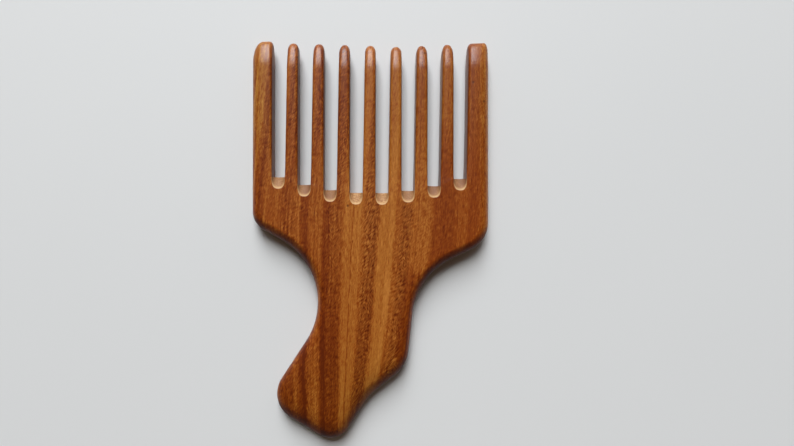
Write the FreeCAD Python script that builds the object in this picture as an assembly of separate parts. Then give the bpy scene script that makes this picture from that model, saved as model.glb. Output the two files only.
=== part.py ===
import FreeCAD, Part
import math
import os

# An afro pick, sawn and carved from one board of hardwood, lying on its back. Millimetres.
# X runs across the row of teeth, Y runs along the teeth towards their tips, and Z is up.
# The origin is under the middle of the pick, on the surface that it rests on.

# Board
overall_length = 170.0
thickness = 10.0
edge_roundover = 4.2  # radius worked onto the rim of the board, on both faces
corner_limit_share = 0.45  # most of a section's height or width that one rounded corner takes

# Row of slots, from side to side
slot_count = 8
slot_pitch = 11.0
slot_root_width = 5.5
slot_tip_width = 6.4
middle_slot_depth = 63.3  # from the tips in the middle of the row to the slot ends there
slot_end_arc_radius = 114.0  # the slot ends lie on this arc, deepest in the middle

# Teeth
guard_tooth_width = 9.25  # the wide tooth at each end of the row, at its root
guard_tooth_taper = 0.5  # how far its outer side leans in by the tip
tip_line_sag = 1.7  # how much lower the middle tips lie than the guard tips
tooth_edge_chamfer = 0.6  # eases the long edges that face the slots

# Tooth tips
tip_bevel_length = 8.4  # from where a face starts to fall to the tip
tip_drop_share = 0.3  # how far each face falls by the tip, as a share of the thickness
tip_end_radius = 1.9  # rounds the end of the tip, seen from the side
tip_blunting = 0.12  # how much of the very point is sanded flat
nose_angle = 38.0  # between the middle line and each flank of a narrow tip, in degrees
nose_flank_share = 1.1  # radius where the flanks start, as a share of the tooth's width
nose_end_share = 0.28  # radius of the very tip, as a share of the tooth's width
guard_inner_corner = 1.9  # corners of the guard tips, seen from above
left_guard_outer_corner = 3.6
right_guard_outer_corner = 1.8

# Scoops, half-round ramps filed into each slot end from both faces
scoop_length = 5.0
scoop_depth = 3.6

# Outline of head and handle, from the left shoulder round the handle to the right shoulder.
# Each corner lies across the head width and down from the outer slot ends to the handle's end.
left_shoulder_radius = 8.9
left_neck_radius = 30.5
heel_radius = 11.9
toe_radius = 8.9
right_hollow_radius = 29.7
swell_radius = 15.6
right_neck_radius = 29.2
right_shoulder_radius = 13.0
corner_across_shares = (-0.5, -0.098, -0.444, -0.14, -0.01, 0.156, 0.196, 0.5)
corner_down_shares = (0.175, 0.385, 0.865, 1.031, 0.841, 0.723, 0.377, 0.243)
corner_radii = (
    left_shoulder_radius,
    left_neck_radius,
    heel_radius,
    toe_radius,
    right_hollow_radius,
    swell_radius,
    right_neck_radius,
    right_shoulder_radius,
)
side_use_share = 0.98  # most of a straight side that the arcs at its two ends take
neck_down_share = 0.49  # where the head ends and the handle starts

# Working sizes
overrun = 20.0  # how far cutting shapes reach past the wood
same_place = 0.001

# Places that follow from the sizes
head_width = (slot_count - 1) * slot_pitch + slot_root_width + 2 * guard_tooth_width
tooth_count = slot_count + 1
middle_slot_end = overall_length / 2 - tip_line_sag - middle_slot_depth
handle_end = -overall_length / 2
rim_radius = min(edge_roundover, corner_limit_share * thickness)


def point(x, y, z):
    return FreeCAD.Vector(x, y, z)


def slot_center(slot):
    return (slot - (slot_count - 1) / 2) * slot_pitch


def slot_end(slot):
    return middle_slot_end + slot_center(slot) ** 2 / (2 * slot_end_arc_radius)


outer_slot_end = slot_end(0)
body_length = outer_slot_end - handle_end
neck_height = outer_slot_end - neck_down_share * body_length


def slot_half_width(slot, height):
    """Half the width of a slot, which widens evenly from its end to the guard tips."""
    share = (height - slot_end(slot)) / (overall_length / 2 - slot_end(slot))
    return (slot_root_width + (slot_tip_width - slot_root_width) * share) / 2


def guard_side(height):
    """Distance of a guard tooth's outer side from the middle, leaning in towards the tip."""
    share = (height - outer_slot_end) / (overall_length / 2 - outer_slot_end)
    return head_width / 2 - guard_tooth_taper * share


def left_side(tooth, height):
    if tooth == 0:
        return -guard_side(height)
    return slot_center(tooth - 1) + slot_half_width(tooth - 1, height)


def right_side(tooth, height):
    if tooth == slot_count:
        return guard_side(height)
    return slot_center(tooth) - slot_half_width(tooth, height)


def tooth_tip(tooth):
    """Height of a tooth's tip, on a shallow hollow line between the guard tips."""
    across = (tooth - slot_count / 2) / (slot_count / 2)
    return overall_length / 2 - tip_line_sag * (1 - across ** 2)


def corner_tangents(points, radii):
    """Straight length that each corner's arc takes, cut back where a side has no room for it."""
    turns = []
    tangents = [0.0]
    for before, corner, after, radius in zip(points, points[1:], points[2:], radii):
        turn = (corner - before).getAngle(after - corner)
        turns.append(turn)
        tangents.append(radius * math.tan(turn / 2))
    tangents.append(0.0)
    factors = [1.0] * len(tangents)
    for side in range(len(points) - 1):
        room = side_use_share * (points[side + 1] - points[side]).Length
        wanted = tangents[side] + tangents[side + 1]
        fit = min(1.0, room / wanted)
        factors[side] = min(factors[side], fit)
        factors[side + 1] = min(factors[side + 1], fit)
    return turns, [tangent * factor for tangent, factor in zip(tangents, factors)]


def rounded_outline(points, radii):
    """Closed wire along the points, with each corner rounded and a straight side to close it."""
    turns, tangents = corner_tangents(points, radii)
    edges = []
    last = points[0]
    for index, turn in enumerate(turns):
        before, corner, after = points[index : index + 3]
        tangent = tangents[index + 1]
        inward = (corner - before).normalize()
        outward = (after - corner).normalize()
        arc_start = corner - inward * tangent
        arc_end = corner + outward * tangent
        radius = tangent / math.tan(turn / 2)
        to_center = (outward - inward).normalize()
        arc_middle = corner + to_center * (radius / math.cos(turn / 2) - radius)
        edges.append(Part.LineSegment(last, arc_start).toShape())
        edges.append(Part.Arc(arc_start, arc_middle, arc_end).toShape())
        last = arc_end
    edges.append(Part.LineSegment(last, points[-1]).toShape())
    edges.append(Part.LineSegment(points[-1], points[0]).toShape())
    return Part.Wire(edges)


def rounded_prism(points, radii, direction):
    return Part.Face(rounded_outline(points, radii)).extrude(direction)


def tooth_shaft(tooth):
    """Straight tooth that narrows all the way and runs past its tip, with eased long edges."""
    left_root = slot_end(max(tooth - 1, 0))
    right_root = slot_end(min(tooth, slot_count - 1))
    past_tip = tooth_tip(tooth) + tip_end_radius
    corners = [
        point(left_side(tooth, left_root), left_root, 0),
        point(right_side(tooth, right_root), right_root, 0),
        point(right_side(tooth, past_tip), past_tip, 0),
        point(left_side(tooth, past_tip), past_tip, 0),
    ]
    shaft = Part.Face(Part.makePolygon(corners + corners[:1])).extrude(point(0, 0, thickness))
    chamfer = min(tooth_edge_chamfer, corner_limit_share * (corners[2].x - corners[3].x))
    if tooth == 0:
        eased = shaft.makeChamfer(chamfer, long_edges(shaft, 1))
        return eased.makeFillet(rim_radius, long_edges(eased, -1))
    eased = shaft.makeChamfer(chamfer, long_edges(shaft, -1))
    if tooth == slot_count:
        return eased.makeFillet(rim_radius, long_edges(eased, 1))
    return eased.makeChamfer(chamfer, long_edges(eased, 1))


def long_edges(shaft, side):
    """Top and bottom edges along the left side (-1) or the right side (1) of a tooth."""
    middle = (shaft.BoundBox.XMin + shaft.BoundBox.XMax) / 2
    return [
        edge
        for edge in shaft.Edges
        if edge.BoundBox.ZLength < same_place
        and edge.BoundBox.YLength > edge.BoundBox.XLength
        and (edge.CenterOfMass.x - middle) * side > 0
    ]


def tip_from_above(tooth):
    """Block with the tooth's outline: a pointed round nose, or a square end on a guard tooth."""
    tip = tooth_tip(tooth) + tip_blunting
    low = middle_slot_end - overrun
    left_foot = point(left_side(tooth, low), low, 0)
    right_foot = point(right_side(tooth, low), low, 0)
    if tooth in (0, slot_count):
        ends = [point(left_side(tooth, tip), tip, 0), point(right_side(tooth, tip), tip, 0)]
        radii = [guard_inner_corner, right_guard_outer_corner]
        if tooth == 0:
            radii = [left_guard_outer_corner, guard_inner_corner]
    else:
        angle = math.radians(nose_angle)
        width = right_side(tooth, tip) - left_side(tooth, tip)
        end_radius = nose_end_share * width
        apex = tip + end_radius * (1 / math.sin(angle) - 1)
        flank = apex - width / (2 * math.tan(angle))
        ends = [
            point(left_side(tooth, flank), flank, 0),
            point((left_side(tooth, tip) + right_side(tooth, tip)) / 2, apex, 0),
            point(right_side(tooth, flank), flank, 0),
        ]
        radii = [nose_flank_share * width, end_radius, nose_flank_share * width]
    return rounded_prism([left_foot] + ends + [right_foot], radii, point(0, 0, thickness))


def tip_from_the_side(tooth):
    """Block between the two bevels of a tip, with a rounded end."""
    tip = tooth_tip(tooth)
    drop = tip_drop_share * thickness
    low = middle_slot_end - overrun
    rise = drop * (tip - low) / tip_bevel_length - drop
    left = -head_width / 2 - overrun
    corners = [
        point(left, low, thickness + rise),
        point(left, tip, thickness - drop),
        point(left, tip, drop),
        point(left, low, -rise),
    ]
    radii = [tip_end_radius, tip_end_radius]
    return rounded_prism(corners, radii, point(head_width + 2 * overrun, 0, 0))


def tooth_solid(tooth):
    shaft = tooth_shaft(tooth)
    return shaft.common(tip_from_above(tooth)).common(tip_from_the_side(tooth))


def body_blank():
    """Head and handle in one, with a rounded rim and a straight top above the slot ends."""
    blank_top = outer_slot_end + overrun
    corners = [
        point(across * head_width, outer_slot_end - down * body_length, 0)
        for across, down in zip(corner_across_shares, corner_down_shares)
    ]
    top_left = point(-head_width / 2, blank_top, 0)
    top_right = point(head_width / 2, blank_top, 0)
    outline = rounded_outline([top_left] + corners + [top_right], corner_radii)
    outline.translate(point(0, handle_end - outline.BoundBox.YMin, 0))
    blank_top = outline.BoundBox.YMax
    blank = Part.Face(outline).extrude(point(0, 0, thickness))
    rim = [
        edge
        for edge in blank.Edges
        if edge.BoundBox.ZLength < same_place and edge.BoundBox.YMin < blank_top - same_place
    ]
    return blank.makeFillet(rim_radius, rim)


def tooth_row_cutter():
    """Everything above the slot ends and the tooth roots, which step along one line."""
    top = overall_length / 2 + overrun
    far = head_width / 2 + overrun
    corners = [point(-far, top, -overrun), point(-far, outer_slot_end, -overrun)]
    for slot in range(slot_count):
        for side in (-1, 1):
            x = slot_center(slot) + side * slot_root_width / 2
            corners.append(point(x, slot_end(slot), -overrun))
    corners.append(point(far, outer_slot_end, -overrun))
    corners.append(point(far, top, -overrun))
    outline = Part.makePolygon(corners + corners[:1])
    return Part.Face(outline).extrude(point(0, 0, thickness + 2 * overrun))


def scoop_cutter(slot):
    """Half-round ramp that starts in the top face and falls towards the slot end."""
    slope = math.atan2(scoop_depth, scoop_length)
    radius = slot_root_width / 2
    along = point(0, math.cos(slope), -math.sin(slope))
    up = point(0, math.sin(slope), math.cos(slope))
    across = point(radius, 0, 0)
    start = point(slot_center(slot), slot_end(slot) - scoop_length, thickness) - along * overrun
    middle = start + up * radius
    rim_height = up * (radius + overrun)
    round_floor = Part.Arc(middle - across, start, middle + across).toShape()
    right_wall = Part.LineSegment(middle + across, middle + across + rim_height).toShape()
    cover = Part.LineSegment(middle + across + rim_height, middle - across + rim_height).toShape()
    left_wall = Part.LineSegment(middle - across + rim_height, middle - across).toShape()
    profile = Part.Wire([round_floor, right_wall, cover, left_wall])
    return Part.Face(profile).extrude(along * (2 * overrun))


def body_solid():
    """Head and handle, cut along the tooth roots and scooped at every slot end."""
    body = body_blank().cut(tooth_row_cutter())
    middle_plane = point(0, 0, thickness / 2)
    for slot in range(slot_count):
        upper = scoop_cutter(slot)
        lower = upper.mirror(middle_plane, point(0, 0, 1))
        body = body.cut(upper).cut(lower)
    return body


def below_neck():
    """Block that holds everything on the handle's side of the neck."""
    width = head_width + 2 * overrun
    length = neck_height - handle_end + overrun
    corner = point(-width / 2, handle_end - overrun, -overrun)
    return Part.makeBox(width, length, thickness + 2 * overrun, corner)


def tooth_name(tooth):
    if tooth == 0:
        return "left_guard_tooth"
    if tooth == slot_count:
        return "right_guard_tooth"
    return f"tooth_{tooth}"


def main():
    os.makedirs("parts", exist_ok=True)
    body = body_solid()
    solids = {"head": body.cut(below_neck()), "handle": body.common(below_neck())}
    for tooth in range(tooth_count):
        solids[tooth_name(tooth)] = tooth_solid(tooth)
    for name, shape in solids.items():
        shape.Solids[0].exportStep(f"parts/{name}.step")


main()
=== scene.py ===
import math

import bmesh
import bpy
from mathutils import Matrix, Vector
from mathutils.kdtree import KDTree


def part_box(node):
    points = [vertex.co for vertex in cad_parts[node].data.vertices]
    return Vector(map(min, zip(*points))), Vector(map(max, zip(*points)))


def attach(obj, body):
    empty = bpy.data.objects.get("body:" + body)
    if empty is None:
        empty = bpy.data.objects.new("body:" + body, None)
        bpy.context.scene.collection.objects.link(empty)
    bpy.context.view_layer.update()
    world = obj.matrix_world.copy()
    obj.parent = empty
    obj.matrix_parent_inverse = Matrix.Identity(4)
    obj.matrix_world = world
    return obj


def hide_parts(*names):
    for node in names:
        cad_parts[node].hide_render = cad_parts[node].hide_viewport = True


# An afro pick carved from one oiled board of ribbon-striped hardwood, lying on a pale table.
# Metres, in the frame of the solids: X across the teeth, Y along them to the tips, Z up.
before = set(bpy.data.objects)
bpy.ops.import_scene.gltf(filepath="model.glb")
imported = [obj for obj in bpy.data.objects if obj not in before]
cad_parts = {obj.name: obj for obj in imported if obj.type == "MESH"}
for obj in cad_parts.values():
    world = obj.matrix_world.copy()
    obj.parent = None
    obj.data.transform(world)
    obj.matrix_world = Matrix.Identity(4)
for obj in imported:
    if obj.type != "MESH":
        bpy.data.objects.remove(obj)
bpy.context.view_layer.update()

# Sizes that the teeth keep from the solids
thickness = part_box("head")[1].z
half_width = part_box("head")[1].x
rim_radius = 0.0042
tooth_names = ["left_guard_tooth"] + [f"tooth_{number}" for number in range(1, 8)] + ["right_guard_tooth"]
last_tooth = len(tooth_names) - 1
tooth_boxes = [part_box(name) for name in tooth_names]
row_half_width = tooth_boxes[last_tooth][0].x
top_of_row = tooth_boxes[0][1].y
slot_side_lean = 0.00045
guard_side_lean = 0.0001

# The slots were sawn a little to the left and askew
row_shift = -0.0006
row_turn = 0.0085
row_pivot = 0.020
lowest_sawn = 0.012

# Hand-sanded finish of the teeth
root_edge_radius = 0.0001
shaft_edge_radius = 0.0013
tip_edge_radius = 0.0019
edge_run_in = 0.008
tip_bevel_length = 0.0110
tip_bevel_drop = 0.0028
tip_bevel_curve = 1.9
nose_depth = 0.0024
nose_drop = 0.0012
nose_flat = 0.0010
nose_lengths = (0.0030, 0.0036, 0.0038, 0.0035, 0.0029, 0.0040, 0.0043)
tip_trims = (0.00015, 0.00025, -0.0001, -0.0001, 0, 0.0005, 0.0003, 0.0002, 0.0004)
left_guard_corners = ((0.0078, 0.0040), (0.0024, 0.0012))
right_guard_corners = ((0.0028, 0.0011), (0.0042, 0.0014))

# Rings that a tooth is drawn out with, closer together near its root, and the shares of
# a section's width and height that its rounded edges may take up
ring_points = 32
shaft_steps = 6
tip_steps = 14
first_ring_gap = 0.0004
ring_crowding = 1.5
widest_edges = 0.98
tallest_edge = 0.49

# Scoops filed into the slot ends. The squarer outline runs from the slot's end down to
# scoop_reach of the length, and beyond scoop_bottom it widens no further
scoop_length = 0.0051
scoop_rim_radius = 0.0002
scoop_squareness = 2.8
scoop_reach = 1.05
scoop_bottom = 0.97
scoop_side_margin = 0.0001
scoop_end_margin = 0.00001

# Softer edges down the handle
foot_edge_width = 0.0065
foot_edge_drop = 0.0008
foot_edge_start = -0.034
foot_edge_full = -0.066
foot_step = 0.0002
foot_grid = 0.0012
neck_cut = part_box("handle")[1].y

# How the solids' meshes are cleaned and cut, and how their faces and edges are told apart
flat_normal = 0.999
rim_normal = 0.9
broad_area = 0.0001
weld_distance = 0.000001
cut_tolerance = 0.0000001
level_angle = math.radians(0.1)
sharp_angle = math.radians(35)

# Half the table's width and the reach of the backdrop round it
stage_radius = 1.6
backdrop_sides = 96

# Window that lights the table
window_width = 1.90
window_height = 3.05
window_power = 248.0
window_place = Vector((-0.38, 3.01, 2.71))

# Photograph's frame and where its camera stood
image_width = 794
focal_pixels = 596
nadir_pixel = 368
camera_place = Vector((-0.00104, 0.0073, 0.2618))
camera_roll = 0.05


def slot_end(slot):
    """Height of a slot's end, which is the higher of its two neighbours' roots."""
    return max(tooth_boxes[slot][0].y, tooth_boxes[slot + 1][0].y)


def slot_sides(slot):
    """Left and right side of a slot at its end."""
    return tooth_boxes[slot][1].x, tooth_boxes[slot + 1][0].x


def tooth_roots(tooth):
    """Heights of a tooth's left and right root, at the ends of the slots beside it."""
    return slot_end(max(tooth - 1, 0)), slot_end(min(tooth, last_tooth - 1))


def tooth_sides(tooth, height):
    """Left and right side of a tooth at a height: its root box, leaning in towards the tip."""
    lowest, highest = tooth_boxes[tooth]
    left_root, right_root = tooth_roots(tooth)
    left_lean = guard_side_lean if tooth == 0 else slot_side_lean
    right_lean = guard_side_lean if tooth == last_tooth else slot_side_lean
    left = lowest.x + left_lean * (height - left_root) / (top_of_row - left_root)
    right = highest.x - right_lean * (height - right_root) / (top_of_row - right_root)
    return left, right


def new_piece(name, bm, materials):
    """Turn a finished mesh into an object of the scene."""
    mesh = bpy.data.meshes.new(name)
    bm.to_mesh(mesh)
    bm.free()
    for material in materials:
        mesh.materials.append(material)
    piece = bpy.data.objects.new(name, mesh)
    bpy.context.scene.collection.objects.link(piece)
    return piece


def sawn(x, y):
    """Where a point of the evenly laid out row of slots lies in the board."""
    share = min(1.0, (half_width - abs(x)) / (half_width - row_half_width))
    return x + share * (row_shift + row_turn * (y - row_pivot)), y - share * row_turn * x


def place_ring(ring, step_layer, sides, heights, drop, radii):
    """Shape a ring of points into a rounded section between two sides of a tooth."""
    left, right = sides
    width = right - left
    low, high = drop, thickness - drop
    crowding = max(1.0, sum(radii) / (widest_edges * width))
    for vert in ring:
        angle = (vert[step_layer] + 0.5) * 2 * math.pi / ring_points
        across, up = math.cos(angle), math.sin(angle)
        radius = min(radii[0 if across < 0 else 1] / crowding, tallest_edge * (high - low))
        x = left + radius * (1 + across) if across < 0 else right - radius * (1 - across)
        z = low + radius * (1 + up) if up < 0 else high - radius * (1 - up)
        share = (x - left) / width
        vert.co = (*sawn(x, heights[0] + (heights[1] - heights[0]) * share), z)


def tooth_corners(tooth, width):
    """Length and depth of the rounding at the left and the right of a tip."""
    if tooth == 0:
        return left_guard_corners
    if tooth == last_tooth:
        return right_guard_corners
    return [(nose_lengths[tooth - 1], (width - nose_flat) / 2)] * 2


def rounding(length, depth, below):
    """Depth of a quarter ellipse at a distance below its end."""
    share = max(0.0, 1 - below / length)
    return depth * (1 - math.sqrt(1 - share ** 2))


def edge_radii(tooth, radius):
    """Edge radii left and right of a tooth, with the board's rim on an outer side."""
    outer = (tooth == 0, tooth == last_tooth)
    return [rim_radius if is_outer else radius for is_outer in outer]


def tooth_section(tooth, tip, height):
    """Sides, heights, drop and edge radii of a sanded tooth at a height."""
    below = tip - height
    left, right = tooth_sides(tooth, height)
    left_corner, right_corner = tooth_corners(tooth, right - left)
    sides = (left + rounding(*left_corner, below), right - rounding(*right_corner, below))
    bevel = max(0.0, 1 - below / tip_bevel_length)
    drop = tip_bevel_drop * bevel ** tip_bevel_curve + rounding(nose_depth, nose_drop, below)
    soft = min(1.0, (height - min(tooth_roots(tooth))) / edge_run_in)
    radius = root_edge_radius + (shaft_edge_radius - root_edge_radius) * soft
    radius += (tip_edge_radius - radius) * bevel
    return sides, (height, height), drop, edge_radii(tooth, radius)


def tooth_stations(tooth):
    """Sections of a tooth from its slanted root to its tip."""
    left_root, right_root = tooth_roots(tooth)
    root_sides = tooth_sides(tooth, left_root)[0], tooth_sides(tooth, right_root)[1]
    tip = tooth_boxes[tooth][1].y - tip_trims[tooth]
    shaft_start = max(left_root, right_root) + first_ring_gap
    shaft_end = tip - tip_bevel_length
    stations = [(root_sides, (left_root, right_root), 0, edge_radii(tooth, root_edge_radius))]
    for step in range(shaft_steps):
        height = shaft_start + (shaft_end - shaft_start) * (step / shaft_steps) ** ring_crowding
        stations.append(tooth_section(tooth, tip, height))
    for step in range(tip_steps + 1):
        height = shaft_end + tip_bevel_length * math.sin(math.pi / 2 * step / tip_steps)
        stations.append(tooth_section(tooth, tip, height))
    return stations


def tooth_piece(tooth, materials):
    """A tooth drawn out ring by ring from its root to its sanded tip."""
    bm = bmesh.new()
    step_layer = bm.verts.layers.int.new("step")
    ring = bmesh.ops.create_circle(bm, segments=ring_points, radius=1.0)["verts"]
    for step, vert in enumerate(ring):
        vert[step_layer] = step
    edges = list(bm.edges)
    stations = tooth_stations(tooth)
    place_ring(ring, step_layer, *stations[0])
    root_face = bmesh.ops.contextual_create(bm, geom=edges)["faces"][0]
    for edge in root_face.edges:
        edge.smooth = False
    for station in stations[1:]:
        grown = bmesh.ops.extrude_edge_only(bm, edges=edges)["geom"]
        ring = [item for item in grown if isinstance(item, bmesh.types.BMVert)]
        edges = [item for item in grown if isinstance(item, bmesh.types.BMEdge)]
        place_ring(ring, step_layer, *station)
    bmesh.ops.contextual_create(bm, geom=edges)
    bmesh.ops.recalc_face_normals(bm, faces=bm.faces)
    for face in bm.faces:
        face.smooth = len(face.verts) == 4
    return new_piece(tooth_names[tooth] + "_sanded", bm, materials)


def is_scoop(face):
    """True for the faces of the ramps filed into the slot ends."""
    centre = face.calc_center_median()
    for slot in range(last_tooth):
        left, right = slot_sides(slot)
        is_between = left - scoop_side_margin < centre.x < right + scoop_side_margin
        if is_between and scoop_end_margin < slot_end(slot) - centre.y < scoop_length:
            return abs(face.normal.z) < flat_normal
    return False


def is_scoop_rim(edge):
    """True for an edge between a scoop and the flat face that it is filed into."""
    if len(edge.link_faces) != 2:
        return False
    marks = sorted(face.material_index for face in edge.link_faces)
    flat = min(edge.link_faces, key=lambda face: face.material_index)
    return marks == [0, 1] and abs(flat.normal.z) > rim_normal


def square_scoop(vert):
    """Widen the lower part of a scoop, which the file left squarer than a half ellipse."""
    for slot in range(last_tooth):
        left, right = slot_sides(slot)
        share = (slot_end(slot) - vert.co.y) / scoop_length
        is_between = left - scoop_rim_radius < vert.co.x < right + scoop_rim_radius
        if is_between and 0 < share < scoop_reach:
            share = min(share, scoop_bottom)
            squarer = (1 - share ** scoop_squareness) ** (1 / scoop_squareness)
            middle = (left + right) / 2
            vert.co.x = middle + (vert.co.x - middle) * squarer / math.sqrt(1 - share ** 2)


def outline_points(flats):
    """Points along the edges of the handle's flat faces, without the cut at the neck."""
    points = []
    for face in flats:
        for edge in face.edges:
            start, end = (vert.co.copy() for vert in edge.verts)
            if min(start.y, end.y) < neck_cut - foot_step:
                count = max(1, math.ceil((end - start).length / foot_step))
                points += [start.lerp(end, step / count) for step in range(count)]
    return points


def cut_flats(bm, flats):
    """Cut the handle's flat faces into a fine grid, and find the points that lie on them."""
    cut = dict.fromkeys(flats)
    for face in flats:
        cut.update(dict.fromkeys(face.edges))
        cut.update(dict.fromkeys(face.verts))
    low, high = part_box("handle")
    for axis, direction in ((0, (1, 0, 0)), (1, (0, 1, 0))):
        for step in range(1, int((high[axis] - low[axis]) / foot_grid)):
            plane = Vector(direction) * (low[axis] + step * foot_grid)
            made = bmesh.ops.bisect_plane(
                bm, geom=list(cut), dist=cut_tolerance, plane_co=plane, plane_no=direction
            )
            cut = dict.fromkeys(made["geom"])
    return {item for item in cut if isinstance(item, bmesh.types.BMVert)}


def soften_foot(bm):
    """Ease the handle's edges more and more towards its foot."""
    level = [face for face in bm.faces if abs(face.normal.z) > flat_normal]
    flats = [face for face in level if face.calc_area() > broad_area]
    points = outline_points(flats)
    outline = KDTree(len(points))
    for index, point in enumerate(points):
        outline.insert(point, index)
    outline.balance()
    on_flats = cut_flats(bm, flats)
    for vert in bm.verts:
        share = (vert.co.y - foot_edge_start) / (foot_edge_full - foot_edge_start)
        drop = foot_edge_drop * min(1.0, max(0.0, share))
        up = 2 * vert.co.z / thickness - 1
        if vert in on_flats:
            inside = min(1.0, outline.find(vert.co)[2] / foot_edge_width)
            drop *= (1 - inside) ** 2
        else:
            fall = min(rim_radius, thickness / 2 * (1 - abs(up)))
            outside = math.sqrt(fall * (2 * rim_radius - fall))
            drop *= (1 + 2 * outside / foot_edge_width) * abs(up)
        vert.co.z -= math.copysign(drop, up)


def board_piece(name, materials):
    """Head or handle, from its solid, with the scoops told apart and their rims eased."""
    bm = bmesh.new()
    bm.from_mesh(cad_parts[name].data)
    bmesh.ops.remove_doubles(bm, verts=bm.verts, dist=weld_distance)
    bmesh.ops.dissolve_limit(bm, angle_limit=level_angle, verts=bm.verts, edges=bm.edges)
    for face in bm.faces:
        face.smooth = True
        face.material_index = 1 if is_scoop(face) else 0
    rims = [edge for edge in bm.edges if is_scoop_rim(edge)]
    if rims:
        bmesh.ops.bevel(
            bm, geom=rims, offset=scoop_rim_radius, affect="EDGES", segments=2, profile=0.5, material=-1
        )
    for edge in bm.edges:
        edge.smooth = edge.calc_face_angle(0) < sharp_angle
    if name == "handle":
        soften_foot(bm)
    for vert in bm.verts:
        square_scoop(vert)
        if vert.co.y > lowest_sawn:
            vert.co.x, vert.co.y = sawn(vert.co.x, vert.co.y)
    piece = new_piece(name + "_oiled", bm, materials)
    even = piece.modifiers.new("even_shading", "WEIGHTED_NORMAL")
    even.keep_sharp = True
    return piece


def add(tree, kind, inputs=(), **settings):
    """Add a node, set its properties, and feed its inputs with values or sockets."""
    made = tree.nodes.new(kind)
    for name, value in settings.items():
        setattr(made, name, value)
    for key, value in dict(inputs).items():
        if isinstance(value, bpy.types.NodeSocket):
            tree.links.new(value, made.inputs[key])
        else:
            made.inputs[key].default_value = value
    return made


def calc(tree, operation, first, second=0.0, third=0.0, clamp=False):
    """Result of a maths node."""
    inputs = {0: first, 1: second, 2: third}
    return add(tree, "ShaderNodeMath", inputs, operation=operation, use_clamp=clamp).outputs[0]


def remap(tree, value, low, high, new_low=0.0, new_high=1.0):
    """Smoothly spread a value from one range over another."""
    inputs = {"Value": value, "From Min": low, "From Max": high, "To Min": new_low, "To Max": new_high}
    made = add(tree, "ShaderNodeMapRange", inputs, interpolation_type="SMOOTHSTEP")
    return made.outputs["Result"]


def vector(tree, x, y, z):
    """Vector made from three values."""
    return add(tree, "ShaderNodeCombineXYZ", {"X": x, "Y": y, "Z": z}).outputs[0]


def noise(tree, place, scale=1.0, detail=2.0, roughness=0.5):
    """Noise between 0 and 1 at a place."""
    inputs = {"Vector": place, "Scale": scale, "Detail": detail, "Roughness": roughness}
    return add(tree, "ShaderNodeTexNoise", inputs).outputs["Fac"]


def blend_colours(tree, share, first, second, kind="MIX"):
    """Mix of two colours, or the first multiplied by the second."""
    made = add(tree, "ShaderNodeMix", data_type="RGBA", blend_type=kind)
    for key, value in ((0, share), (6, first), (7, second)):
        if isinstance(value, bpy.types.NodeSocket):
            tree.links.new(value, made.inputs[key])
        else:
            made.inputs[key].default_value = value
    return made.outputs[2]


def srgb(red, green, blue):
    """Colour as written on a colour card, 0 to 255, made linear."""
    def linear(channel):
        share = channel / 255
        return share / 12.92 if share <= 0.04045 else ((share + 0.055) / 1.055) ** 2.4
    return (linear(red), linear(green), linear(blue), 1.0)


# Ribbons of the board, from left to right at the level of the slot ends and then near the tips:
# where each is even from and to in millimetres, how pale it is and how figured
ribbons = (
    (-58.0, -50.6, 0.60, 0.3),
    (-49.4, -46.6, 0.33, 0.5),
    (-44.8, -39.4, 0.56, 0.4),
    (-37.8, -34.2, 0.43, 0.6),
    (-31.6, -31.6, 0.54, 0.6),
    (-27.9, -27.9, 0.20, 0.6),
    (-25.4, -21.8, 0.56, 0.5),
    (-19.1, -19.1, 0.14, 0.6),
    (-17.4, -14.0, 0.38, 0.7),
    (-9.8, -4.6, 0.72, 0.25),
    (-1.0, 2.6, 0.45, 1.0),
    (5.1, 9.6, 0.77, 0.2),
    (12.0, 12.0, 0.55, 0.6),
    (14.4, 16.6, 0.42, 1.0),
    (19.0, 24.8, 0.60, 0.5),
    (27.8, 34.6, 0.31, 0.4),
    (39.0, 39.0, 0.43, 0.25),
    (43.6, 58.0, 0.36, 0.2),
)
tip_ribbons = (
    (-58.0, -50.4, 0.60, 0.3),
    (-47.0, -46.0, 0.33, 0.5),
    (-40.2, -39.6, 0.52, 0.4),
    (-38.0, -34.0, 0.32, 0.8),
    (-28.8, -28.8, 0.46, 0.5),
    (-26.6, -23.0, 0.27, 0.8),
    (-18.0, -13.0, 0.34, 0.8),
    (-6.0, -3.0, 0.62, 0.4),
    (-1.4, -1.4, 0.34, 1.0),
    (5.0, 11.5, 0.60, 0.3),
    (17.5, 23.0, 0.48, 0.4),
    (30.0, 35.0, 0.50, 0.4),
    (42.0, 58.0, 0.36, 0.2),
)

# Level at which the ribbons lie as listed, the dark lines across it, and the places of the pin knots
ribbon_level = 10.0
dark_lines = (-36.0, -7.6, 2.5, 20.3)
pin_knots = ((43.3, 66.9), (48.0, 58.8), (-9.6, 14.6), (23.0, 79.5))

# Features of the grain to a millimetre: across it, along it and through the board
slow_sway_scale = (0.05, 0.03, 0.05)
quick_sway_scale = (0.5, 0.10, 0.5)
stripe_scale = (0.95, 0.016, 0.45)
fibre_scale = (3.0, 0.30, 1.8)
fleck_scale = (4.6, 0.62, 1.8)
fleck_patch_scale = (0.20, 0.06, 1.0)
speckle_scale = (2.6, 1.7, 2.6)
pore_scale = (3.4, 0.9, 3.4)

# Slant of the two sets of flecks with a shift along the grain, and the layer their patches lie in
fleck_slants = ((0.70, 0.0), (-0.42, 31.0))
fleck_patch_layer = 7.0

# How far the grain sways and its fibres blur the ribbons, in millimetres
slow_sway = 1.6
quick_sway = 1.2
fibre_blur = 2.2

# How much each part of the figure changes how pale the wood is. The stripes differ right and left
fleck_contrast = 0.72
stripe_contrasts = (0.55, 1.15)
fibre_contrast = 1.15
speckle_contrast = 0.22
line_paleness = 0.66
# Painted shade that darkens the dark ribbons towards the handle's foot, away from the window
foot_painted_shade = 0.38
# Painted shade along the handle's right edge, which is turned from the light
right_edge_painted_shade = 0.24
streak_paling = 0.15

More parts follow.
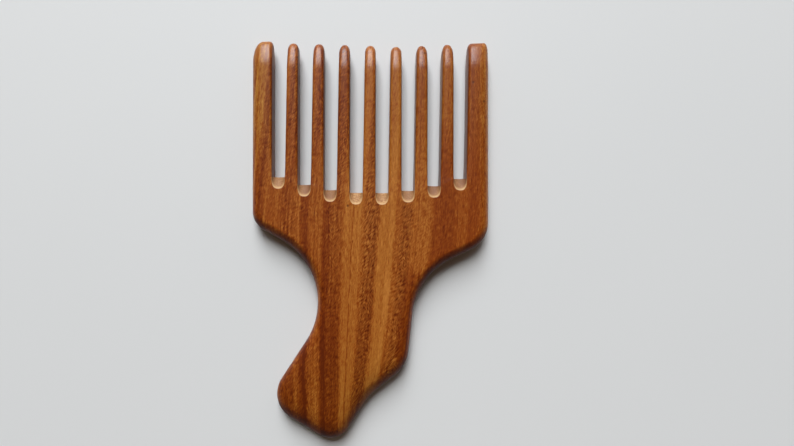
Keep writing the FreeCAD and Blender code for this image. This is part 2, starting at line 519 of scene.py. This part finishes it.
# Levels and reaches in the board, in millimetres, and the depth of a pore against a fibre's height
neck_level = -30.0
guard_teeth_from = 44.0
pore_depth = 0.8


def ribbon_ramp(tree, across, bands):
    """Ribbons across the board as a colour: red for how pale the wood is, green for how figured."""
    left, right = bands[0][0], bands[-1][1]
    share = calc(tree, "DIVIDE", calc(tree, "SUBTRACT", across, left), right - left)
    ramp = add(tree, "ShaderNodeValToRGB", {"Fac": share})
    ramp.color_ramp.interpolation = "EASE"
    stops = ramp.color_ramp.elements
    for even_from, even_to, tone, figure in bands:
        for place in sorted({even_from, even_to}):
            position = (place - left) / (right - left)
            stop = stops[0] if place == left else stops.new(position)
            stop.color = (tone, figure, 0, 1)
    stops.remove(stops[len(stops) - 1])
    return ramp.outputs["Color"]


def spread(tree, value, amount, base=0.0):
    """A noise value, spread evenly round a base."""
    return calc(tree, "MULTIPLY_ADD", calc(tree, "SUBTRACT", value, 0.5), amount, base)


def stretched_noise(tree, place, scales, detail=2.0, roughness=0.5):
    """Noise drawn out along the grain, with so many features to a millimetre each way."""
    scaled = [calc(tree, "MULTIPLY", part, scale) for part, scale in zip(place, scales)]
    return noise(tree, vector(tree, *scaled), 1.0, detail, roughness)


def leaning_grain(group, x, y):
    """Place across the grain. It leans to the left going down, differently above and below the slots."""
    above_lean = remap(group, x, -20.0, 45.0, 0.09, 0.0)
    below_lean = remap(group, x, -27.0, 8.0, 0.0, 0.085)
    foot_bend = remap(group, x, -14.0, -6.0, 0.0, -0.0019)
    rise = calc(group, "SUBTRACT", y, ribbon_level)
    upper = calc(group, "MULTIPLY", above_lean, calc(group, "MAXIMUM", rise, 0.0))
    lower = calc(group, "MULTIPLY", below_lean, calc(group, "MINIMUM", rise, 0.0))
    below_neck = calc(group, "MINIMUM", calc(group, "SUBTRACT", y, neck_level), 0.0)
    foot = calc(group, "MULTIPLY", foot_bend, calc(group, "POWER", below_neck, 2.0))
    leaning = calc(group, "ADD", calc(group, "ADD", upper, lower), foot)
    return calc(group, "SUBTRACT", x, leaning)


def slanting_flecks(group, straight, across, y, z):
    """Short flecks that slant one way or, in patches, the other, as in a herringbone."""
    flecks = []
    for slant, shift in fleck_slants:
        turned = calc(group, "MULTIPLY_ADD", y, -slant, straight)
        shifted = calc(group, "ADD", y, shift)
        flecks.append(stretched_noise(group, (turned, shifted, z), fleck_scale, 0.0))
    patches = stretched_noise(group, (across, y, fleck_patch_layer), fleck_patch_scale, 1.0)
    turning = remap(group, patches, 0.57, 0.63)
    difference = calc(group, "SUBTRACT", flecks[1], flecks[0])
    mixed = calc(group, "MULTIPLY_ADD", difference, turning, flecks[0])
    return remap(group, mixed, 0.37, 0.63)


def pores_and_knots(group, across, x, y, z):
    """Open pores, short dark dashes along the grain, and a few pin knots."""
    pores = stretched_noise(group, (across, y, z), pore_scale, 1.0)
    pore = remap(group, pores, 0.58, 0.74)
    flat_place = vector(group, x, y, 0.0)
    for knot in pin_knots:
        away = add(group, "ShaderNodeVectorMath", {0: flat_place, 1: (*knot, 0)}, operation="DISTANCE")
        dark = remap(group, away.outputs["Value"], 0.2, 0.8, 2.0, 0.0)
        pore = calc(group, "MAXIMUM", pore, dark)
    return pore


def ribbon_tones(group, blurred, y):
    """How pale and how figured the ribbons are, with a few dark lines among them."""
    up_the_teeth = remap(group, y, 30.0, 56.0)
    low_ribbons = ribbon_ramp(group, blurred, ribbons)
    high_ribbons = ribbon_ramp(group, blurred, tip_ribbons)
    mixed = blend_colours(group, up_the_teeth, low_ribbons, high_ribbons)
    ribbon, figured = add(group, "ShaderNodeSeparateColor", {0: mixed}).outputs[:2]
    for line in dark_lines:
        distance = calc(group, "ABSOLUTE", calc(group, "SUBTRACT", blurred, line))
        ribbon = calc(group, "MULTIPLY", ribbon, remap(group, distance, 0.12, 0.42, line_paleness, 1.0))
    return ribbon, figured


def handle_tone(group, tone, ribbon, x, y):
    """Tone with the changes down the handle."""
    # Painted shade: the dark ribbons deepen towards the foot, away from the window
    darkness = calc(group, "SUBTRACT", 1.0, ribbon)
    painted_foot_shade = remap(group, y, 5.0, -62.0, 0.0, foot_painted_shade)
    tone = calc(group, "SUBTRACT", tone, calc(group, "MULTIPLY", darkness, painted_foot_shade))

    # Painted shade on the right edge, turned from the light: it is dark from the neck down, widening into
    # the swell, beside a paler streak
    neck_edge = calc(group, "MULTIPLY", remap(group, x, 13.4, 15.4), remap(group, y, -8.0, -20.0))
    swell = calc(group, "MULTIPLY", remap(group, x, 10.0, 14.0), remap(group, y, -22.0, -42.0))
    painted_edge_shade = calc(group, "MAXIMUM", swell, neck_edge)
    tone = calc(group, "MULTIPLY_ADD", painted_edge_shade, -right_edge_painted_shade, tone)
    streak = calc(group, "MULTIPLY", remap(group, x, 4.5, 7.5), remap(group, x, 12.0, 10.0))
    paling = remap(group, y, -10.0, -20.0, 0.0, streak_paling)
    return calc(group, "MULTIPLY_ADD", streak, paling, tone)


def golden_wood(group, x, y):
    """Yellower wood: towards the tips at the far left and on the right, and at the foot."""
    left = remap(group, x, -38.0, -46.0, 0.0, 1.6)
    right = remap(group, x, -8.0, 20.0, 0.0, 0.8)
    foot = remap(group, y, -35.0, -68.0, 0.0, 1.2)
    sides = calc(group, "ADD", left, right)
    return calc(group, "MULTIPLY_ADD", remap(group, y, 15.0, 60.0), sides, foot)


def painted_shade_and_end_grain(group, normal, x):
    """Painted shade, partly darker end grain: faces turned down the board, away from the window, and the
    upright sides of the slots and the handle, more on the right.
    """
    facing = add(group, "ShaderNodeSeparateXYZ", {0: normal}).outputs
    end_grain = remap(group, facing["Y"], -0.02, -0.38)
    facing_right = remap(group, facing["X"], 0.75, 0.99, 0.0, 0.6)
    facing_left = remap(group, facing["X"], -0.75, -0.99, 0.0, 0.25)
    sideways = calc(group, "MAXIMUM", facing_right, facing_left)
    in_the_row = calc(group, "LESS_THAN", calc(group, "ABSOLUTE", x), guard_teeth_from)
    return calc(group, "MAXIMUM", end_grain, calc(group, "MULTIPLY", sideways, in_the_row))


def wood_figure():
    """Group: ribbons, fibres and flecks of interlocked grain, by place in the board."""
    group = bpy.data.node_groups.new("ribbon_wood_figure", "ShaderNodeTree")
    for name in ("Tone", "Fleck", "Pore", "Golden", "ShadeAndEndGrain", "Height"):
        group.interface.new_socket(name, in_out="OUTPUT", socket_type="NodeSocketFloat")
    coordinates = add(group, "ShaderNodeTexCoord").outputs
    place = {0: coordinates["Object"], "Scale": 1000.0}
    millimetres = add(group, "ShaderNodeVectorMath", place, operation="SCALE").outputs[0]
    x, y, z = add(group, "ShaderNodeSeparateXYZ", {0: millimetres}).outputs

    # Places across the grain, straight at first and then swaying
    straight = leaning_grain(group, x, y)
    slow = stretched_noise(group, (x, y, z), slow_sway_scale, 1.0)
    quick = stretched_noise(group, (x, y, z), quick_sway_scale, 2.0)
    swaying = spread(group, slow, slow_sway, straight)
    across = spread(group, quick, quick_sway, swaying)

    # Narrow stripes, hair-fine fibres and speckles, then flecks and pores
    stripes = stretched_noise(group, (swaying, y, z), stripe_scale, 3.0, 0.6)
    fibres = stretched_noise(group, (across, y, z), fibre_scale, 2.0, 0.75)
    speckle = stretched_noise(group, (across, y, z), speckle_scale, 1.0, 0.6)
    fleck = slanting_flecks(group, straight, across, y, z)
    pore = pores_and_knots(group, across, x, y, z)

    # How pale the wood is
    ribbon, figured = ribbon_tones(group, spread(group, fibres, fibre_blur, across), y)
    tone = spread(group, fleck, calc(group, "MULTIPLY", figured, fleck_contrast), ribbon)
    tone = spread(group, stripes, remap(group, x, -8.0, -24.0, *stripe_contrasts), tone)
    tone = spread(group, fibres, fibre_contrast, tone)
    tone = spread(group, speckle, speckle_contrast, tone)
    outputs = {
        "Tone": handle_tone(group, tone, ribbon, x, y),
        "Fleck": fleck,
        "Pore": pore,
        "Golden": golden_wood(group, x, y),
        "ShadeAndEndGrain": painted_shade_and_end_grain(group, coordinates["Normal"], x),
        "Height": calc(group, "MULTIPLY_ADD", pore, -pore_depth, fibres),
    }
    add(group, "NodeGroupOutput", outputs)
    return group


# Colours of the wood from dark to pale, each with its share of the way, and the tints laid over them
wood_colours = (
    (0.0, srgb(88, 28, 2)),
    (0.42, srgb(136, 60, 9)),
    (0.72, srgb(163, 96, 34)),
    (1.0, srgb(188, 120, 52)),
)
golden_tint = (1.0, 1.17, 1.20, 1.0)
golden_strength = 0.7
pore_colour = srgb(70, 26, 6)
pore_strength = 0.35
# Painted shade on the sides turned from the light, partly darker end grain, and the roughness added there
shade_and_end_grain_tint = (0.50, 0.42, 0.34, 1.0)
dull_roughness = 0.22
oil_refraction = 1.40

# Colours of the filed end grain, and where it is stained and where the painted highlight along its rim
# lies, in metres
filed_colours = (srgb(147, 101, 60), srgb(184, 139, 91))
stain_colour = srgb(128, 85, 55)
scoop_rim_highlight_colour = srgb(202, 161, 110)
scoop_rim_highlight_strength = 0.75
rim_highlight_from, rim_highlight_to = 0.0040, 0.0049
stained_slots_place = -0.021

# Colours of the table, the backdrop, the window and the room
table_colours = ((0.670, 0.667, 0.660, 1.0), (0.709, 0.702, 0.690, 1.0))
backdrop_colour = (0.66, 0.67, 0.675, 1.0)
window_colour = (0.92, 0.965, 1.0)
room_colours = ((0.11, 0.07, 0.04, 1.0), (0.50, 0.52, 0.54, 1.0))


def new_material(name):
    """A new material, its node tree and its shader."""
    material = bpy.data.materials.new(name)
    material.use_nodes = True
    tree = material.node_tree
    return material, tree, tree.nodes["Principled BSDF"]


def link_surface(tree, shader, colour, roughness, relief):
    """Feed a shader with a colour, a roughness and a bump."""
    tree.links.new(colour, shader.inputs["Base Color"])
    tree.links.new(roughness, shader.inputs["Roughness"])
    bump = add(tree, "ShaderNodeBump", relief)
    tree.links.new(bump.outputs[0], shader.inputs["Normal"])


def wood_ramp(tree, tone):
    """Colour of the wood by how pale it is."""
    ramp = add(tree, "ShaderNodeValToRGB", {"Fac": tone})
    stops = ramp.color_ramp.elements
    for position, _ in wood_colours[1:-1]:
        stops.new(position)
    for stop, (_, colour) in zip(stops, wood_colours):
        stop.color = colour
    return ramp.outputs["Color"]


def oiled_hardwood(figure):
    """Reddish-brown wood with a satin oil finish."""
    material, tree, shader = new_material("oiled_hardwood")
    grain = add(tree, "ShaderNodeGroup", node_tree=figure).outputs
    golden_share = calc(tree, "MULTIPLY", grain["Golden"], golden_strength)
    golden = blend_colours(tree, golden_share, wood_ramp(tree, grain["Tone"]), golden_tint, "MULTIPLY")
    pore_share = calc(tree, "MULTIPLY", grain["Pore"], pore_strength)
    pored = blend_colours(tree, pore_share, golden, pore_colour)
    # Painted shade on the sides turned from the light, partly darker end grain
    colour = blend_colours(tree, grain["ShadeAndEndGrain"], pored, shade_and_end_grain_tint, "MULTIPLY")
    oiled = remap(tree, grain["Fleck"], 0.0, 1.0, 0.28, 0.37)
    roughness = calc(tree, "MULTIPLY_ADD", grain["ShadeAndEndGrain"], dull_roughness, oiled)
    relief = {"Strength": 0.3, "Distance": 0.00005, "Height": grain["Height"]}
    link_surface(tree, shader, colour, roughness, relief)
    shader.inputs["IOR"].default_value = oil_refraction
    return material


def filed_end_grain(figure):
    """Dry, pale end grain in the scoops, left rough by a round file."""
    material, tree, shader = new_material("filed_end_grain")
    grain = add(tree, "ShaderNodeGroup", node_tree=figure).outputs
    place = add(tree, "ShaderNodeTexCoord").outputs["Object"]
    parts = add(tree, "ShaderNodeSeparateXYZ", {0: place}).outputs
    mottle = noise(tree, place, 1500.0, 2.0, 0.6)
    dry = blend_colours(tree, remap(tree, mottle, 0.38, 0.62), *filed_colours)

    # Stains, in clouds, more of them to the right and round the second and third slots
    clouds = remap(tree, noise(tree, place, 110.0, 1.0), 0.58, 0.40, 0.0, 0.5)
    to_the_right = remap(tree, parts["X"], 0.008, 0.038, 0.0, 0.72)
    from_stained = calc(tree, "ABSOLUTE", calc(tree, "SUBTRACT", parts["X"], stained_slots_place))
    on_the_left = remap(tree, from_stained, 0.004, 0.011, 0.62, 0.0)
    stain = calc(tree, "ADD", clouds, calc(tree, "ADD", to_the_right, on_the_left), clamp=True)
    stained = blend_colours(tree, stain, dry, stain_colour)

    # Painted highlight: a pale rim near either face of the board, where the scoop's edge catches the
    # light
    from_middle = calc(tree, "ABSOLUTE", calc(tree, "SUBTRACT", parts["Z"], thickness / 2))
    rim = remap(tree, from_middle, rim_highlight_from, rim_highlight_to, 0.0, scoop_rim_highlight_strength)
    colour = blend_colours(tree, rim, stained, scoop_rim_highlight_colour)
    roughness = remap(tree, grain["Fleck"], 0.0, 1.0, 0.62, 0.8)
    relief = {"Strength": 0.5, "Distance": 0.0001, "Height": mottle}
    link_surface(tree, shader, colour, roughness, relief)
    return material


def table_paint():
    """Pale matt paint, faintly uneven."""
    material, tree, shader = new_material("pale_table")
    place = add(tree, "ShaderNodeTexCoord").outputs["Object"]
    mottle = noise(tree, place, 3.0, 3.0)
    colour = blend_colours(tree, mottle, *table_colours)
    roughness = remap(tree, mottle, 0.3, 0.7, 0.57, 0.63)
    relief = {"Strength": 0.05, "Distance": 0.00002, "Height": noise(tree, place, 900.0, 2.0)}
    link_surface(tree, shader, colour, roughness, relief)
    return material


def backdrop_paper():
    """Plain pale paper that shows one even brightness, however it is lit."""
    material, _, shader = new_material("pale_backdrop")
    shader.inputs["Base Color"].default_value = (0, 0, 0, 1)
    shader.inputs["Specular IOR Level"].default_value = 0.0
    shader.inputs["Emission Color"].default_value = backdrop_colour
    shader.inputs["Emission Strength"].default_value = 1.0
    return material


def build_stage():
    """Table, and a backdrop all round it that only the camera sees, so that it adds no light."""
    bm = bmesh.new()
    bmesh.ops.create_grid(bm, x_segments=4, y_segments=4, size=stage_radius)
    floor = new_piece("table_top", bm, [table_paint()])

    bm = bmesh.new()
    bmesh.ops.create_cone(
        bm, segments=backdrop_sides, radius1=stage_radius, radius2=stage_radius, depth=2 * stage_radius
    )
    backdrop = new_piece("backdrop", bm, [backdrop_paper()])
    backdrop.visible_diffuse = False
    backdrop.visible_glossy = False
    backdrop.visible_shadow = False


def build_window():
    """Large soft window beyond the tips, turned towards the pick."""
    window = bpy.data.lights.new("window_light", "AREA")
    window.shape = "RECTANGLE"
    window.size = window_width
    window.size_y = window_height
    window.energy = window_power
    window.color = window_colour
    lamp = bpy.data.objects.new("window_light", window)
    lamp.location = window_place
    lamp.rotation_euler = (-window_place).to_track_quat("-Z", "Y").to_euler()
    bpy.context.scene.collection.objects.link(lamp)


def build_room():
    """A warm room, paler on the window's side and darker overhead."""
    world = bpy.data.worlds.new("room")
    world.use_nodes = True
    tree = world.node_tree
    background = tree.nodes["Background"]
    direction = add(tree, "ShaderNodeTexCoord").outputs["Generated"]
    parts = add(tree, "ShaderNodeSeparateXYZ", {0: direction}).outputs
    pale = remap(tree, parts["Y"], 0.0, 0.95)
    tree.links.new(blend_colours(tree, pale, *room_colours), background.inputs["Color"])
    overhead = remap(tree, parts["Z"], 0.5, 0.85, 1.0, 0.4)
    tree.links.new(overhead, background.inputs["Strength"])
    bpy.context.scene.world = world


def build_camera():
    """Camera straight above the pick, where the photographer's stood."""
    data = bpy.data.cameras.new("photo_camera")
    data.sensor_fit = "HORIZONTAL"
    data.lens = data.sensor_width * focal_pixels / image_width
    data.shift_x = 0.5 - nadir_pixel / image_width
    camera = bpy.data.objects.new("photo_camera", data)
    camera.location = camera_place
    camera.rotation_euler = (0, 0, math.radians(camera_roll))
    bpy.context.scene.collection.objects.link(camera)
    bpy.context.scene.camera = camera
    bpy.context.scene.view_settings.view_transform = "Standard"


figure = wood_figure()
wood = oiled_hardwood(figure)
scoop_wood = filed_end_grain(figure)
for tooth, name in enumerate(tooth_names):
    piece = tooth_piece(tooth, [wood])
    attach(piece, "root")
    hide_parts(name)
for name in ("head", "handle"):
    piece = board_piece(name, [wood, scoop_wood])
    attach(piece, "root")
    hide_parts(name)
build_stage()
build_window()
build_room()
build_camera()
